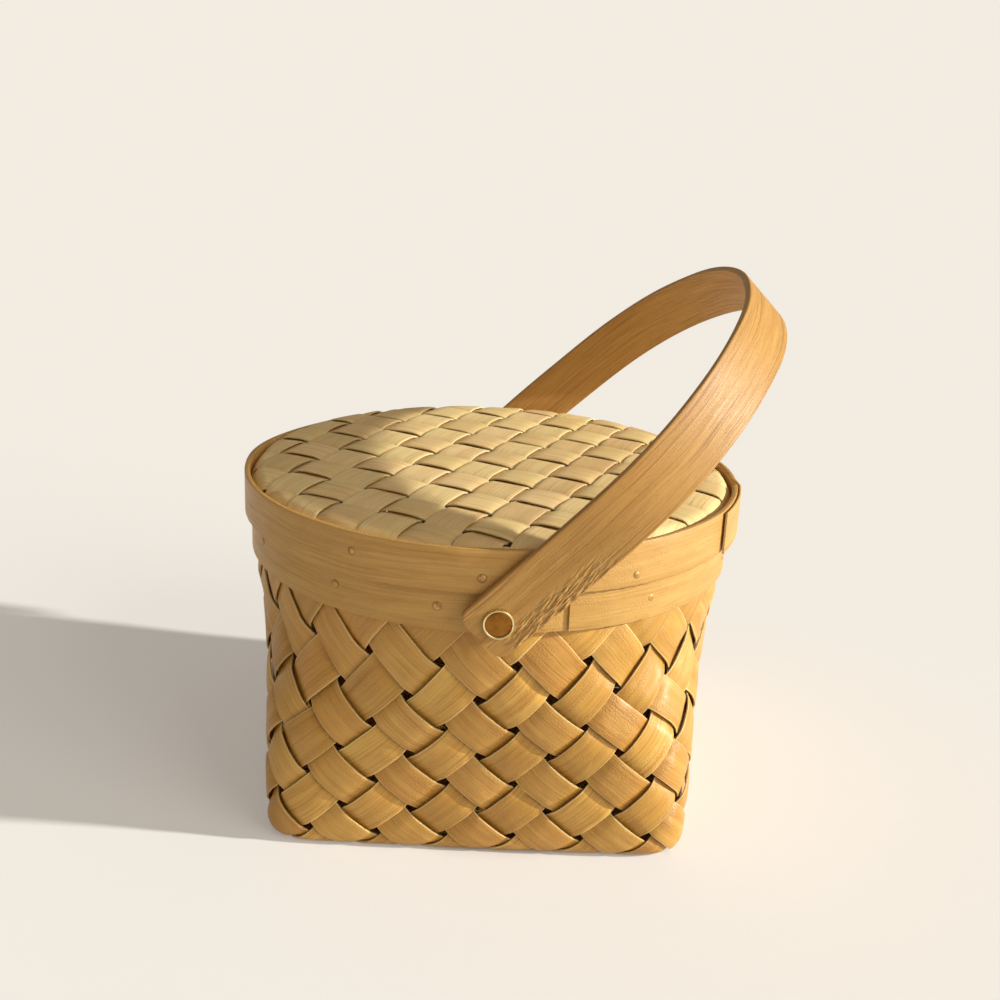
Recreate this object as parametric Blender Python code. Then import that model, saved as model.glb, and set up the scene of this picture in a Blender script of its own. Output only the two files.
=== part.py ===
"""Round pie basket of plaited wood splints, with a loose woven lid and a swinging bentwood handle.

The body is plaited on the bias: every splint crosses the square base at 45 degrees, folds up at
two neighbouring sides and climbs both walls to the rim, where two bent hoops clamp its ends.
The lid is a plain woven disc seated on an inner ring inside a taller outer hoop.
Metres, +Z up, standing on z = 0, the handle's pivot axis parallel to Y.
"""
import math

import bmesh
import bpy
from mathutils import Vector

MM = 0.001

# Overall sizes.
LID_RADIUS = 100.0 * MM
LID_TOP_HEIGHT = 130.0 * MM
LID_HOOP_HEIGHT = 16.5 * MM

# Splints and the gaps that neighbouring pieces keep.
SPLINT_WIDTH = 15.4 * MM
SPLINT_THICKNESS = 0.8 * MM
WEAVE_CLEARANCE = 0.3 * MM
SEAT_CLEARANCE = 0.4 * MM

# Body: a plait cell is a square on its corner, and one lattice unit is half its diagonal.
# The base reaches the same number of units out from its centre to every side.
LATTICE_UNIT = 12.5 * MM
BASE_UNIT = 13.0 * MM
HALF_SIDE_UNITS = 6
WALL_ROWS = 8
WALL_FOOT_HALF_WIDTH = 81.0 * MM
WALL_HOLLOW = 2.4 * MM
WALL_STEPS = 12
FOOT_ROUND_WIDTH = 3.2 * MM
FOOT_ROUND_HEIGHT = 4.0 * MM
CORNER_SQUARENESS = 12.5
CORNER_FADE_POWER = 2.1
CORNER_ROW_LIFT = 2.2 * MM
CORNER_SPREAD_POWER = 3.0
FOOT_STEPS = 18
BASE_SQUARE_SHARE = 0.5
WEAVE_TURN = math.radians(-2.8)

# Rim hoops.
RIM_DROP = 13.5 * MM
RIM_BAND_HEIGHT = 18.5 * MM
SPLINT_END_DROP = 8.9 * MM
RIM_OUTER_THICKNESS = 2.0 * MM
RIM_INNER_THICKNESS = 1.5 * MM
RIM_LAP_START = math.radians(-75.0)
RIM_LAP_LENGTH = 42.0 * MM
LAP_END_SHARE = 0.35
LAP_ROOT_SHARE = 0.55
LAP_RAMP_LENGTH = 9.0 * MM
HOOP_SEGMENTS = 40

# Lid.
LID_HOOP_THICKNESS = 2.2 * MM
LID_HOOP_LAP_START = math.radians(-25.0)
LID_HOOP_LAP_LENGTH = 38.0 * MM
LID_HOOP_LAP_PROUD = 1.4 * MM
LID_RUNNING_CLEARANCE = 0.6 * MM
LID_RING_THICKNESS = 2.0 * MM
LID_WEAVE_DROP = 0.4 * MM
LID_SPLINTS = 11
LID_COVER_SHARE = 0.87
LID_WEAVE_TURN = math.radians(-27.0)

# Handle, upright in its own frame with the pivot axis through its origin.
HANDLE_WIDTH = 22.5 * MM
HANDLE_THICKNESS = 3.0 * MM
HANDLE_LID_CLEARANCE = 0.5 * MM
HANDLE_LEG_LENGTH = 45.0 * MM
HANDLE_CROWN_HEIGHT = 98.0 * MM
HANDLE_OVERHANG = 9.0 * MM
HANDLE_CORNER_RADIUS = 4.0 * MM
HANDLE_EDGE_ROUND = 0.6 * MM
HANDLE_CROWN_STEPS = 20
HANDLE_CORNER_STEPS = 3
HANDLE_LEAN = math.radians(45.5)
PIVOT_DROP = 12.0 * MM

# Rivets, their inner burrs and the washers that hold the handle off the rim.
RIVET_HEAD_RADIUS = 5.5 * MM
RIVET_HEAD_HEIGHT = 2.0 * MM
RIVET_RIM_WIDTH = 0.9 * MM
RIVET_RIM_HEIGHT = 0.6 * MM
RIVET_SHANK_RADIUS = 2.0 * MM
RIVET_TAIL_RADIUS = 2.9 * MM
RIVET_TAIL_HEIGHT = 0.9 * MM
RIVET_HOLE_CLEARANCE = 0.3 * MM
BURR_RADIUS = 4.6 * MM
BURR_THICKNESS = 1.0 * MM
WASHER_RADIUS = 5.2 * MM
TURNED_SEGMENTS = 10
TURNED_SHARP_ANGLE = math.radians(35.0)
DOME_STEPS = 3
CUTTER_OVERRUN = 5.0 * MM

# Counts and sizes that follow from the driving ones. Heights hang from the lid's top.
RIM_TOP_HEIGHT = LID_TOP_HEIGHT - RIM_DROP
RIM_BOTTOM_HEIGHT = RIM_TOP_HEIGHT - RIM_BAND_HEIGHT
SPLINT_END_HEIGHT = RIM_TOP_HEIGHT - SPLINT_END_DROP
PIVOT_HEIGHT = RIM_TOP_HEIGHT - PIVOT_DROP
SIDE_UNITS = 2 * HALF_SIDE_UNITS
AROUND_UNITS = 4 * SIDE_UNITS
CELL_SHARE = SPLINT_WIDTH / (LATTICE_UNIT * math.sqrt(2))
BASE_CELL_SHARE = SPLINT_WIDTH / (BASE_UNIT * math.sqrt(2))
LAYER_OFFSET = (SPLINT_THICKNESS + WEAVE_CLEARANCE) / 2
WEAVE_HALF_DEPTH = LAYER_OFFSET + SPLINT_THICKNESS / 2
RIM_RADIUS = LID_RADIUS - LID_HOOP_THICKNESS - LID_RUNNING_CLEARANCE
RIM_MID_RADIUS = RIM_RADIUS - RIM_OUTER_THICKNESS - SEAT_CLEARANCE - WEAVE_CLEARANCE / 2 - WEAVE_HALF_DEPTH
RIM_INNER_RADIUS = RIM_MID_RADIUS - WEAVE_HALF_DEPTH - SEAT_CLEARANCE - WEAVE_CLEARANCE / 2
UPRIGHT_FROM = RIM_BOTTOM_HEIGHT - LATTICE_UNIT
ROUND_FROM_ROW = WALL_ROWS - 1
WALL_SLOPE = (RIM_MID_RADIUS - WALL_FOOT_HALF_WIDTH) / UPRIGHT_FROM
LID_WEAVE_HEIGHT = LID_TOP_HEIGHT - LID_WEAVE_DROP - WEAVE_HALF_DEPTH
LID_RING_TOP = LID_WEAVE_HEIGHT - WEAVE_HALF_DEPTH - WEAVE_CLEARANCE
LID_RING_BOTTOM = RIM_TOP_HEIGHT + SEAT_CLEARANCE
LID_DISC_RADIUS = LID_RADIUS - LID_HOOP_THICKNESS - SEAT_CLEARANCE
LID_RING_RADIUS = LID_DISC_RADIUS - SEAT_CLEARANCE
LID_PITCH = 2 * LID_DISC_RADIUS / LID_SPLINTS
LID_SPLINT_WIDTH = LID_PITCH * LID_COVER_SHARE
HANDLE_INNER_SPAN = LID_RADIUS + HANDLE_LID_CLEARANCE
HANDLE_SPAN = HANDLE_INNER_SPAN + HANDLE_THICKNESS / 2
BURR_INNER_FACE = (RIM_INNER_RADIUS - RIM_INNER_THICKNESS) * math.cos(math.pi / HOOP_SEGMENTS) \
    - SEAT_CLEARANCE - BURR_THICKNESS
HANDLE_REACH = HANDLE_LEG_LENGTH + HANDLE_CROWN_HEIGHT + HANDLE_THICKNESS / 2
RIVET_HOLE_RADIUS = RIVET_SHANK_RADIUS + RIVET_HOLE_CLEARANCE

# The origin is the middle of the footprint box, and the leaning handle pulls that off the axis.
LEAN_REACH = HANDLE_REACH * math.sin(HANDLE_LEAN) + HANDLE_WIDTH / 2 * math.cos(HANDLE_LEAN)
BASKET_AXIS_X = (LID_RADIUS - LEAN_REACH) / 2

# The four walls in lattice space: the direction that leads outward over the base edge, and the
# direction in which the count around the basket grows.
SIDES = (
    ((0, -1), (1, 0)),
    ((1, 0), (0, 1)),
    ((0, 1), (-1, 0)),
    ((-1, 0), (0, -1)),
)

COLORS = {
    "poplar": (0.68, 0.47, 0.23),
    "poplar_pale": (0.74, 0.55, 0.30),
    "poplar_hoop": (0.70, 0.49, 0.25),
    "handle_wood": (0.56, 0.37, 0.17),
    "brass": (0.72, 0.55, 0.28),
}


def clear_scene():
    for item in list(bpy.data.objects):
        bpy.data.objects.remove(item, do_unlink=True)


def make_material(name, roughness, metallic=0.0):
    material = bpy.data.materials.new(name)
    material.use_nodes = True
    shader = material.node_tree.nodes["Principled BSDF"]
    shader.inputs["Base Color"].default_value = (*COLORS[name], 1.0)
    shader.inputs["Roughness"].default_value = roughness
    shader.inputs["Metallic"].default_value = metallic
    return material


def add_object(name, mesh, material, parent):
    """Put a mesh in the scene as one named sub-part."""
    mesh.materials.append(material)
    item = bpy.data.objects.new(name, mesh)
    bpy.context.collection.objects.link(item)
    item.parent = parent
    return item


def finish_mesh(name, solid):
    """Turn a bmesh into a mesh whose faces point outward."""
    bmesh.ops.recalc_face_normals(solid, faces=solid.faces)
    mesh = bpy.data.meshes.new(name)
    solid.to_mesh(mesh)
    solid.free()
    return mesh


# Surface of the body

def interpolate(value, xs, ys):
    """Read a rising table of points at one value."""
    if value <= xs[0]:
        return ys[0]
    for i in range(1, len(xs)):
        if value <= xs[i]:
            share = (value - xs[i - 1]) / (xs[i] - xs[i - 1])
            return ys[i - 1] + share * (ys[i] - ys[i - 1])
    return ys[-1]


def wall_half_width(height):
    """Half width at mid side: a rounded foot, a leaning, slightly hollow wall, and an upright rim."""
    share = min(height / UPRIGHT_FROM, 1.0)
    leaning = WALL_FOOT_HALF_WIDTH + WALL_SLOPE * UPRIGHT_FROM * share - 4 * WALL_HOLLOW * share * (1 - share)
    rise = min(height / FOOT_ROUND_HEIGHT, 1.0)
    return leaning - FOOT_ROUND_WIDTH * (1 - math.sqrt(1 - (1 - rise) ** 2))


def make_meridian():
    """Half width and height along a splint-wise path from the base centre up the wall."""
    turns = [math.pi / 2 * i / FOOT_STEPS for i in range(FOOT_STEPS + 1)]
    heights = [FOOT_ROUND_HEIGHT * (1 - math.cos(turn)) for turn in turns]
    wall = UPRIGHT_FROM - FOOT_ROUND_HEIGHT
    heights += [FOOT_ROUND_HEIGHT + wall * (i + 1) / WALL_STEPS for i in range(WALL_STEPS)]
    heights.append(LID_TOP_HEIGHT)
    lengths, widths, rises = [0.0], [0.0], [0.0]
    for height in heights:
        width = wall_half_width(height)
        lengths.append(lengths[-1] + math.hypot(width - widths[-1], height - rises[-1]))
        widths.append(width)
        rises.append(height)
    return lengths, widths, rises


MERIDIAN = make_meridian()

# Rows are spaced to bring the last cells up between the rim hoops, whatever the height.
WALL_LENGTH = interpolate(SPLINT_END_HEIGHT, MERIDIAN[2], MERIDIAN[0]) - HALF_SIDE_UNITS * BASE_UNIT
ROW_LENGTH = WALL_LENGTH / (WALL_ROWS + CELL_SHARE)


def make_outline(squareness):
    """Unit outline between a circle and a square, with the share of the way round at each point."""
    steps = 4 * AROUND_UNITS
    points = []
    for i in range(steps + 1):
        angle = math.tau * i / steps - 3 * math.pi / 4
        c, s = math.cos(angle), math.sin(angle)
        reach = (abs(c) ** squareness + abs(s) ** squareness) ** (-1 / squareness)
        points.append((reach * c, reach * s))
    shares = [0.0]
    for a, b in zip(points, points[1:]):
        shares.append(shares[-1] + math.dist(a, b))
    total = shares[-1]
    return [s / total for s in shares], [p[0] for p in points], [p[1] for p in points]


OUTLINES = {}


def outline_point(around, row):
    """Unit plan point at a lattice column, squarer near the base and round at the rim."""
    fade = max(0.0, 1 - max(row, 0.0) / ROUND_FROM_ROW)
    squareness = 2 + (CORNER_SQUARENESS - 2) * fade ** CORNER_FADE_POWER
    key = round(squareness, 4)
    if key not in OUTLINES:
        OUTLINES[key] = make_outline(key)
    shares, xs, ys = OUTLINES[key]
    share = (around % AROUND_UNITS) / AROUND_UNITS
    return interpolate(share, shares, xs), interpolate(share, shares, ys)


def wall_point(around, row):
    """Mid surface of the weave at a lattice column and a row above the base edge."""
    lengths, widths, rises = MERIDIAN
    length = HALF_SIDE_UNITS * BASE_UNIT + row * ROW_LENGTH
    half_width = interpolate(length, lengths, widths)
    height = interpolate(length, lengths, rises)
    x, y = outline_point(around, row)
    corner_share = abs((around % SIDE_UNITS) / HALF_SIDE_UNITS - 1) ** CORNER_SPREAD_POWER
    climb = max(row, 0.0)
    height += CORNER_ROW_LIFT * climb * max(0.0, 1 - climb / ROUND_FROM_ROW) * corner_share
    return Vector((half_width * x, half_width * y, height + WEAVE_HALF_DEPTH))


def side_coordinates(a, b, side):
    """Column and row of base lattice point (a, b) when the base is unfolded over one side."""
    (out_a, out_b), (run_a, run_b) = SIDES[side]
    column = side * SIDE_UNITS + HALF_SIDE_UNITS + a * run_a + b * run_b
    return column, a * out_a + b * out_b - HALF_SIDE_UNITS


def facing_side(a, b):
    """The wall that a base lattice point lies nearest to."""
    return max(range(4), key=lambda i: a * SIDES[i][0][0] + b * SIDES[i][0][1])


def base_point(a, b):
    """Mid surface of the base: a straight grid in the middle, following the outline at its edge."""
    ring = max(abs(a), abs(b))
    lengths, widths, rises = MERIDIAN
    half_width = interpolate(ring * BASE_UNIT, lengths, widths)
    height = interpolate(ring * BASE_UNIT, lengths, rises)
    if ring == 0:
        return Vector((0.0, 0.0, WEAVE_HALF_DEPTH))
    stretched = [v * HALF_SIDE_UNITS / ring for v in (a, b)]
    column = side_coordinates(*stretched, facing_side(a, b))[0]
    x, y = outline_point(column, 0)
    start = BASE_SQUARE_SHARE * HALF_SIDE_UNITS
    bend = max(0.0, (ring - start) / (HALF_SIDE_UNITS - start)) ** 2
    return Vector((
        half_width * (a / ring + (x - a / ring) * bend),
        half_width * (b / ring + (y - b / ring) * bend),
        height + WEAVE_HALF_DEPTH,
    ))


def lattice_point(a, b, side):
    """Mid surface at an unfolded lattice point, with side None on the base."""
    if side is None:
        side = facing_side(a, b)
    column, row = side_coordinates(a, b, side)
    if row >= 0:
        return wall_point(column, row)
    return base_point(a, b)


def lattice_normal(a, b, side):
    """Outward direction at an unfolded lattice point."""
    step = CELL_SHARE / 4
    along_a = lattice_point(a + step, b, side) - lattice_point(a - step, b, side)
    along_b = lattice_point(a, b + step, side) - lattice_point(a, b - step, side)
    return -along_a.cross(along_b).normalized()


# Splints of the body

def splint_cells(family, line):
    """Cells that one splint crosses from rim to rim, as (a, b, side, row), with side None on the base.

    Splints of family a keep a + b constant, and those of family b keep a - b constant.
    """
    reach = SIDE_UNITS - abs(line)
    end = reach + 2 * WALL_ROWS
    cells = []
    for travel in range(-end, end + 1, 2):
        a = (travel + line) // 2
        b = line - a if family == "a" else a - line
        if abs(travel) < reach:
            cells.append((a, b, None, -1))
            continue
        edge_a = ((reach if travel > 0 else -reach) + line) // 2
        edge_b = line - edge_a if family == "a" else edge_a - line
        cells.append((a, b, facing_side(edge_a, edge_b), (abs(travel) - reach) // 2))
    return cells


def cell_corners(a, b, side, family):
    """Corners of a splint's patch in one cell: two where it enters, then two where it leaves."""
    r = BASE_CELL_SHARE if side is None else CELL_SHARE
    if family == "a":
        return ((a, b + r), (a - r, b)), ((a + r, b), (a, b - r))
    return ((a - r, b), (a, b - r)), ((a, b + r), (a + r, b))


def layer_pair(solid, point, normal, layer):
    """Outer and inner vertex of a splint at one point of the weave."""
    middle = point + normal * (layer * LAYER_OFFSET)
    half = normal * (SPLINT_THICKNESS / 2)
    return solid.verts.new(middle + half), solid.verts.new(middle - half)


def add_strip(solid, start, end, cross_diagonal):
    """Join two stations of a splint, folding each face along one of its two diagonals."""
    (p, q), (s, t) = start, end
    for k in (0, 1):
        if cross_diagonal:
            solid.faces.new((p[k], q[k], s[k]))
            solid.faces.new((q[k], t[k], s[k]))
        else:
            solid.faces.new((p[k], q[k], t[k]))
            solid.faces.new((p[k], t[k], s[k]))
    solid.faces.new((p[0], s[0], s[1], p[1]))
    solid.faces.new((q[0], t[0], t[1], q[1]))


def close_strip(solid, stations, folds):
    """Join a splint's stations in order and close both of its ends."""
    for start, end, fold in zip(stations, stations[1:], folds):
        add_strip(solid, start, end, fold)
    for p, q in (stations[0], stations[-1]):
        solid.faces.new((p[0], q[0], q[1], p[1]))


def folds_across(side, row, family):
    """Both families fold alike in a cell: upright on the walls, level along the base edge."""
    level_run = side in (0, 2)
    fold_on_a = side is None or level_run == (row == 0)
    return fold_on_a == (family == "a")


def make_splint(family, line):
    """One splint from rim to rim as a closed solid."""
    solid = bmesh.new()
    stations, folds = [], []
    for a, b, side, row in splint_cells(family, line):
        layer = 1 if (b % 2 == 0) == (family == "a") else -1
        for corners in cell_corners(a, b, side, family):
            stations.append([
                layer_pair(solid, lattice_point(*corner, side), lattice_normal(*corner, side), layer)
                for corner in corners
            ])
            folds.append(folds_across(side, row, family))
    close_strip(solid, stations, folds)
    return finish_mesh(f"splint_{family}", solid)


# Hoops

def hoop_profile(angle, lap, ramp, thickness, proud):
    """Outer and inner face of a lapped hoop, measured from its outer radius, at an angle along it."""
    share = min(max(angle if angle <= lap + ramp else angle - math.tau, 0.0) / lap, 1.0)
    over = thickness * (LAP_END_SHARE + (LAP_ROOT_SHARE - LAP_END_SHARE) * share)
    under = min(0.0, proud - over - WEAVE_CLEARANCE)
    if angle <= lap:
        return proud, proud - over
    if angle <= lap + ramp:
        blend = (angle - lap) / ramp
        return proud * (1 - blend), (proud - over) * (1 - blend) - thickness * blend
    if angle >= math.tau:
        return under, -thickness
    blend = max(0.0, (angle - (math.tau - ramp)) / ramp)
    return under * blend, -thickness


def make_hoop(name, radius, thickness, bottom, top, lap_start, lap_length, proud=0.0):
    """A strip bent into a hoop, its outer end lying over its thinned inner end."""
    lap = lap_length / radius
    ramp = LAP_RAMP_LENGTH / radius
    step = math.tau / HOOP_SEGMENTS
    first = math.ceil((lap_start - WEAVE_TURN) / step) * step + WEAVE_TURN - lap_start
    angles = {0.0, lap, lap + ramp, math.tau - ramp, math.tau, math.tau + lap}
    regular = [first + i * step for i in range(HOOP_SEGMENTS + math.ceil(lap / step) + 1)]
    angles |= {a for a in regular if a < math.tau + lap and min(abs(a - b) for b in angles) > step / 4}
    solid = bmesh.new()
    rings = []
    for angle in sorted(angles):
        outer, inner = hoop_profile(angle, lap, ramp, thickness, proud)
        direction = Vector((math.cos(angle + lap_start), math.sin(angle + lap_start), 0.0))
        corners = ((outer, bottom), (outer, top), (inner, top), (inner, bottom))
        rings.append([
            solid.verts.new(direction * (radius + offset) + Vector((0.0, 0.0, height)))
            for offset, height in corners
        ])
    for ring, after in zip(rings, rings[1:]):
        for k in range(4):
            solid.faces.new((ring[k], after[k], after[(k + 1) % 4], ring[(k + 1) % 4]))
    solid.faces.new(rings[0])
    solid.faces.new(rings[-1])
    return finish_mesh(name, solid)


# Lid weave

def make_lid_splint(family, index):
    """A straight flat splint that rises and dips over the crossing family, longer than the lid."""
    half_count = (LID_SPLINTS - 1) / 2
    half_width = LID_SPLINT_WIDTH / 2
    offset = (index - half_count) * LID_PITCH
    up = Vector((0.0, 0.0, 1.0))
    solid = bmesh.new()
    stations = []
    for crossing in range(-1, LID_SPLINTS + 1):
        layer = 1 if (index + crossing) % 2 == (0 if family == "a" else 1) else -1
        middle = (crossing - half_count) * LID_PITCH
        for along in (middle - half_width, middle + half_width):
            spots = [(along, offset + across) for across in (-half_width, half_width)]
            if family == "b":
                spots = [spot[::-1] for spot in spots]
            stations.append([layer_pair(solid, Vector((*spot, 0.0)), up, layer) for spot in spots])
    close_strip(solid, stations, [True] * (len(stations) - 1))
    return finish_mesh(f"lid_splint_{family}", solid)


# Handle

def handle_path():
    """Stations of the handle's middle line, upright: (across, up), outward normal and half width."""
    rows = []
    corner_steps = HANDLE_CORNER_STEPS
    ends = [HANDLE_CORNER_RADIUS * (1 - math.cos(math.pi / 2 * i / corner_steps)) for i in range(corner_steps + 1)]
    rises = [-HANDLE_OVERHANG + e for e in ends]
    for rise in rises:
        rows.append((-HANDLE_SPAN, rise, -1.0, 0.0))
    for i in range(HANDLE_CROWN_STEPS + 1):
        turn = math.pi * i / HANDLE_CROWN_STEPS
        across, up = -HANDLE_SPAN * math.cos(turn), HANDLE_CROWN_HEIGHT * math.sin(turn)
        normal = Vector((across / HANDLE_SPAN ** 2, up / HANDLE_CROWN_HEIGHT ** 2)).normalized()
        rows.append((across, HANDLE_LEG_LENGTH + up, normal.x, normal.y))
    for rise in reversed(rises):
        rows.append((HANDLE_SPAN, rise, 1.0, 0.0))
    return rows


def end_half_width(rise):
    """Half width of the strip near its rounded ends."""
    inset = HANDLE_CORNER_RADIUS - (rise + HANDLE_OVERHANG)
    if inset <= 0:
        return HANDLE_WIDTH / 2
    corner = math.sqrt(max(HANDLE_CORNER_RADIUS ** 2 - inset ** 2, 0.0))
    return HANDLE_WIDTH / 2 - HANDLE_CORNER_RADIUS + corner


def make_handle():
    """A flat strip with eased edges, bent over the crown and rounded at both ends."""
    solid = bmesh.new()
    rings = []
    edge = HANDLE_EDGE_ROUND
    half_depth = HANDLE_THICKNESS / 2
    for across, up, out_across, out_up in handle_path():
        half = end_half_width(up)
        section = (
            (edge - half, half_depth), (half - edge, half_depth),
            (half, half_depth - edge), (half, edge - half_depth),
            (half - edge, -half_depth), (edge - half, -half_depth),
            (-half, edge - half_depth), (-half, half_depth - edge),
        )
        rings.append([
            solid.verts.new((x, across + out_across * depth, up + out_up * depth)) for x, depth in section
        ])
    count = len(rings[0])
    for ring, after in zip(rings, rings[1:]):
        for k in range(count):
            solid.faces.new((ring[k], after[k], after[(k + 1) % count], ring[(k + 1) % count]))
    solid.faces.new(rings[0])
    solid.faces.new(rings[-1])
    return finish_mesh("handle", solid)


# Turned pieces of the two pivots

def make_turned(name, profile):
    """Spin a profile of (radius, height) pairs about Z; a zero radius closes the end."""
    solid = bmesh.new()
    rings = []
    for radius, height in profile:
        if radius == 0:
            rings.append([solid.verts.new((0.0, 0.0, height))])
            continue
        turns = [math.tau * i / TURNED_SEGMENTS for i in range(TURNED_SEGMENTS)]
        rings.append([solid.verts.new((radius * math.cos(t), radius * math.sin(t), height)) for t in turns])
    closed = rings + [rings[0]] if len(rings[0]) > 1 else rings
    for ring, after in zip(closed, closed[1:]):
        for k in range(TURNED_SEGMENTS):
            n = (k + 1) % TURNED_SEGMENTS
            corners = (ring[k % len(ring)], ring[n % len(ring)], after[n % len(after)], after[k % len(after)])
            solid.faces.new(tuple(dict.fromkeys(corners)))
    mesh = finish_mesh(name, solid)
    mesh.shade_smooth()
    mesh.set_sharp_from_angle(angle=TURNED_SHARP_ANGLE)
    return mesh


def make_rivet():
    """Domed head with a raised rim, a shank through handle and rim, and a spread tail inside."""
    dome_radius = RIVET_HEAD_RADIUS - RIVET_RIM_WIDTH
    seat = HANDLE_SPAN + HANDLE_THICKNESS / 2 + WEAVE_CLEARANCE
    tail = BURR_INNER_FACE - WEAVE_CLEARANCE
    dome_rise = RIVET_HEAD_HEIGHT - RIVET_RIM_HEIGHT
    profile = [(0.0, seat + RIVET_HEAD_HEIGHT)]
    for i in range(1, DOME_STEPS + 1):
        turn = math.pi / 2 * i / DOME_STEPS
        profile.append((dome_radius * math.sin(turn), seat + RIVET_RIM_HEIGHT + dome_rise * math.cos(turn)))
    profile += [
        (RIVET_HEAD_RADIUS, seat + RIVET_RIM_HEIGHT),
        (RIVET_HEAD_RADIUS, seat),
        (RIVET_SHANK_RADIUS, seat),
        (RIVET_SHANK_RADIUS, tail),
        (RIVET_TAIL_RADIUS, tail),
        (RIVET_SHANK_RADIUS, tail - RIVET_TAIL_HEIGHT),
        (0.0, tail - RIVET_TAIL_HEIGHT),
    ]
    return make_turned("rivet", profile)


def make_ring(name, outer_radius, inner_radius, near, far):
    """A flat washer between two distances from the basket's axis."""
    profile = [(outer_radius, near), (outer_radius, far), (inner_radius, far), (inner_radius, near)]
    return make_turned(name, profile)


def add_cutter(name, segments, radius, length, location, tilt):
    """A cylinder that only cuts: left out of the model itself."""
    bpy.ops.mesh.primitive_cylinder_add(
        vertices=segments, radius=radius, depth=length, location=location, rotation=(tilt, 0.0, 0.0),
    )
    cutter = bpy.context.object
    cutter.name = name
    cutter.hide_render = True
    cutter.display_type = "WIRE"
    return cutter


def cut(item, cutter, operation):
    boolean = item.modifiers.new(cutter.name, "BOOLEAN")
    boolean.operation = operation
    boolean.solver = "EXACT"
    boolean.object = cutter


def add_frame(name, location, rotation=(0.0, 0.0, 0.0), parent=None):
    """An empty that carries the pieces of one body."""
    frame = bpy.data.objects.new(name, None)
    bpy.context.collection.objects.link(frame)
    frame.location = location
    frame.rotation_euler = rotation
    frame.parent = parent
    return frame


def build_body(basket, materials, bore):
    """Plaited splints, the two rim hoops, and the bores of the pivot through them."""
    weave = add_frame("weave_frame", (0.0, 0.0, 0.0), (0.0, 0.0, WEAVE_TURN), basket)
    for family in ("a", "b"):
        for number in range(SIDE_UNITS):
            line = 2 * number + 1 - SIDE_UNITS
            mesh = make_splint(family, line)
            add_object(f"body_splint_{family}{number + 1:02d}", mesh, materials["poplar"], weave)
    hoops = (
        ("rim_band_outer", RIM_RADIUS, RIM_OUTER_THICKNESS, RIM_LAP_START),
        ("rim_band_inner", RIM_INNER_RADIUS, RIM_INNER_THICKNESS, RIM_LAP_START + math.pi),
    )
    for name, radius, thickness, lap_start in hoops:
        mesh = make_hoop(name, radius, thickness, RIM_BOTTOM_HEIGHT, RIM_TOP_HEIGHT, lap_start, RIM_LAP_LENGTH)
        cut(add_object(name, mesh, materials["poplar_hoop"], basket), bore, "DIFFERENCE")


def build_pivots(basket, materials):
    """Rivet, washer and burr at the front and at the back."""
    for place, tilt in (("front", math.pi / 2), ("back", -math.pi / 2)):
        frame = add_frame(f"pivot_{place}_frame", (0.0, 0.0, PIVOT_HEIGHT), (tilt, 0.0, 0.0), basket)
        add_object(f"pivot_rivet_{place}", make_rivet(), materials["brass"], frame)
        washer = make_ring(
            "washer", WASHER_RADIUS, RIVET_HOLE_RADIUS,
            RIM_RADIUS + WEAVE_CLEARANCE, HANDLE_INNER_SPAN - WEAVE_CLEARANCE,
        )
        add_object(f"pivot_washer_{place}", washer, materials["brass"], frame)
        burr = make_ring("burr", BURR_RADIUS, RIVET_HOLE_RADIUS, BURR_INNER_FACE, BURR_INNER_FACE + BURR_THICKNESS)
        add_object(f"pivot_burr_{place}", burr, materials["brass"], frame)


def build_lid(basket, materials):
    """Outer hoop, inner ring and the woven disc between them."""
    lid = add_frame("lid_frame", (0.0, 0.0, LID_WEAVE_HEIGHT), (0.0, 0.0, 0.0), basket)
    disc = add_cutter("lid_disc_cutter", HOOP_SEGMENTS, LID_DISC_RADIUS, CUTTER_OVERRUN, (0.0, 0.0, 0.0), 0.0)
    disc.parent = lid
    weave = add_frame("lid_weave_frame", (0.0, 0.0, 0.0), (0.0, 0.0, LID_WEAVE_TURN), lid)
    for family in ("a", "b"):
        for number in range(LID_SPLINTS):
            mesh = make_lid_splint(family, number)
            item = add_object(f"lid_splint_{family}{number + 1:02d}", mesh, materials["poplar_pale"], weave)
            cut(item, disc, "INTERSECT")
    hoop = make_hoop(
        "lid_hoop_outer", LID_RADIUS, LID_HOOP_THICKNESS,
        LID_TOP_HEIGHT - LID_HOOP_HEIGHT, LID_TOP_HEIGHT,
        LID_HOOP_LAP_START, LID_HOOP_LAP_LENGTH, LID_HOOP_LAP_PROUD,
    )
    add_object("lid_hoop_outer", hoop, materials["poplar_hoop"], basket)
    ring = make_hoop(
        "lid_hoop_inner", LID_RING_RADIUS, LID_RING_THICKNESS,
        LID_RING_BOTTOM, LID_RING_TOP,
        LID_HOOP_LAP_START + math.pi, LID_HOOP_LAP_LENGTH,
    )
    add_object("lid_hoop_inner", ring, materials["poplar_hoop"], basket)


def main():
    clear_scene()
    roughness = {"poplar": 0.62, "poplar_pale": 0.62, "poplar_hoop": 0.6, "handle_wood": 0.55}
    materials = {name: make_material(name, value) for name, value in roughness.items()}
    materials["brass"] = make_material("brass", 0.32, 1.0)
    basket = add_frame("basket_frame", (BASKET_AXIS_X, 0.0, 0.0))
    bore = add_cutter(
        "pivot_bore_cutter", TURNED_SEGMENTS, RIVET_HOLE_RADIUS, 2 * (HANDLE_SPAN + CUTTER_OVERRUN),
        (0.0, 0.0, PIVOT_HEIGHT), math.pi / 2,
    )
    bore.parent = basket
    build_body(basket, materials, bore)
    build_pivots(basket, materials)
    build_lid(basket, materials)
    handle = add_object("handle", make_handle(), materials["handle_wood"], basket)
    handle.location = (0.0, 0.0, PIVOT_HEIGHT)
    handle.rotation_euler = (0.0, HANDLE_LEAN, 0.0)
    cut(handle, bore, "DIFFERENCE")


main()
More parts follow.
